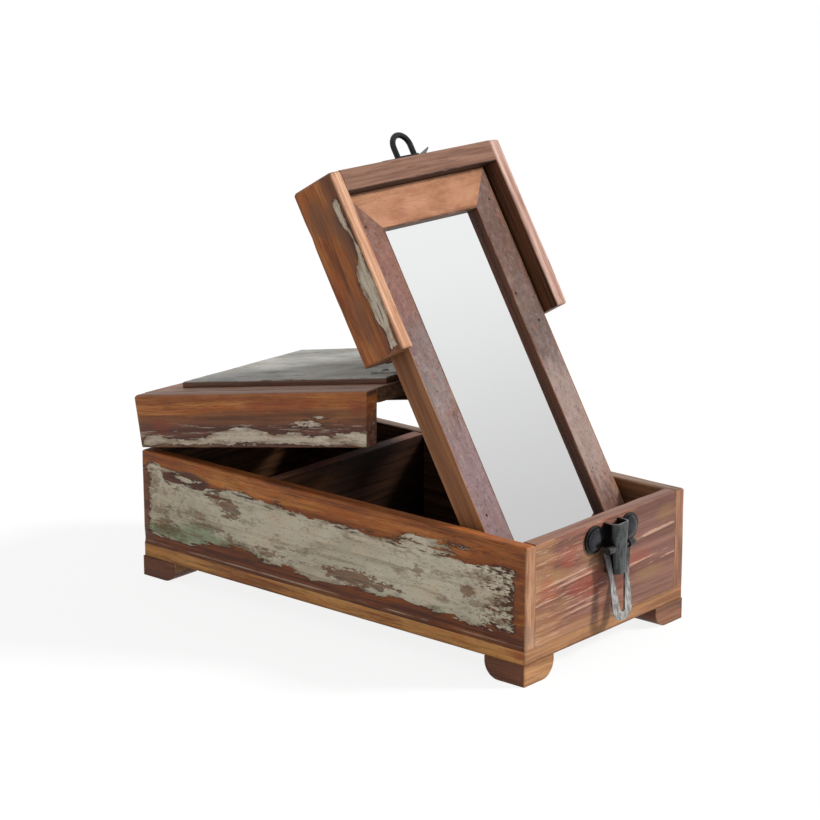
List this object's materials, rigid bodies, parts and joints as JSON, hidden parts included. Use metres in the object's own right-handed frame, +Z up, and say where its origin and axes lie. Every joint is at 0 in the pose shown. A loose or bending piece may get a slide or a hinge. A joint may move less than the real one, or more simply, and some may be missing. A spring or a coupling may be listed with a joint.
{
  "type": "barber box",
  "caption": "Footed wooden travelling box whose cut lid folds up into a standing mirror, with partition, hasp and turning staple.",
  "frame": {"origin": "on the floor under the middle of the object's outline", "axes": "+X across the box, +Y along it towards the back hinges, +Z up"},
  "size_m": [0.182, 0.3808, 0.3392],
  "materials": {
    "painted_wood": "worn paint on old boards",
    "frame_wood": "rubbed",
    "foot_wood": "rubbed",
    "mirror": "plain mirror",
    "black_iron": "blackened",
    "hinge_steel": "dull"
  },
  "bodies": {
    "base": {"base_side_left": "painted_wood", "base_side_right": "painted_wood", "base_front_end": "painted_wood", "base_back_end": "painted_wood", "base_bottom": "foot_wood", "base_partition": "painted_wood", "foot_front_left": "foot_wood", "foot_front_right": "foot_wood", "foot_back_left": "foot_wood", "foot_back_right": "foot_wood", "back_hinge_leaf_base_left": "hinge_steel", "back_hinge_leaf_base_right": "hinge_steel", "back_hinge_pin_left": "hinge_steel", "back_hinge_pin_right": "hinge_steel", "hasp_bridge": "black_iron", "hasp_pin": "black_iron"},
    "rear_lid": {"lid_side_left": "painted_wood", "lid_side_right": "painted_wood", "lid_back_end": "painted_wood", "lid_top_board": "painted_wood", "lid_raised_panel": "painted_wood", "back_hinge_leaf_lid_left": "hinge_steel", "back_hinge_leaf_lid_right": "hinge_steel", "mid_hinge_leaf_lid_left": "hinge_steel", "mid_hinge_leaf_lid_right": "hinge_steel", "mid_hinge_pin_left": "hinge_steel", "mid_hinge_pin_right": "hinge_steel"},
    "mirror_lid": {"hood_side_left": "painted_wood", "hood_side_right": "painted_wood", "hood_end": "painted_wood", "hood_top_board": "painted_wood", "hood_raised_panel": "painted_wood", "frame_stile_left": "frame_wood", "frame_stile_right": "frame_wood", "frame_rail_top": "frame_wood", "frame_rail_bottom": "frame_wood", "mirror_glass": "mirror", "mirror_backboard": "frame_wood", "mid_hinge_leaf_hood_left": "hinge_steel", "mid_hinge_leaf_hood_right": "hinge_steel", "staple_plate": "black_iron"},
    "hasp_strap": {"hasp_strap": "black_iron"},
    "turn_staple": {"staple": "black_iron"}
  },
  "joints": [
    {"name": "lid_hinge", "type": "hinge", "parent": "base", "child": "rear_lid", "pos_m": [0, 0.1842, 0.09725], "axis": [-1, 0, 0], "range_deg": [0, 90]},
    {"name": "mirror_hinge", "type": "hinge", "parent": "rear_lid", "child": "mirror_lid", "pos_m": [0, -0.03586, 0.18642], "axis": [-1, 0, 0], "range_deg": [-109.61, 0]},
    {"name": "hasp_hinge", "type": "hinge", "parent": "base", "child": "hasp_strap", "pos_m": [0.003, -0.1884, 0.077], "axis": [-1, 0, 0], "range_deg": [0, 171]},
    {"name": "staple_turn", "type": "hinge", "parent": "mirror_lid", "child": "turn_staple", "pos_m": [0.003, 0.00152, 0.32029], "axis": [0, 0.5028, 0.8644], "range_deg": [0, 90]}
  ],
  "couplings": [
    {"joint": "mirror_hinge", "follows": "lid_hinge", "ratio": -1.2178}
  ]
}
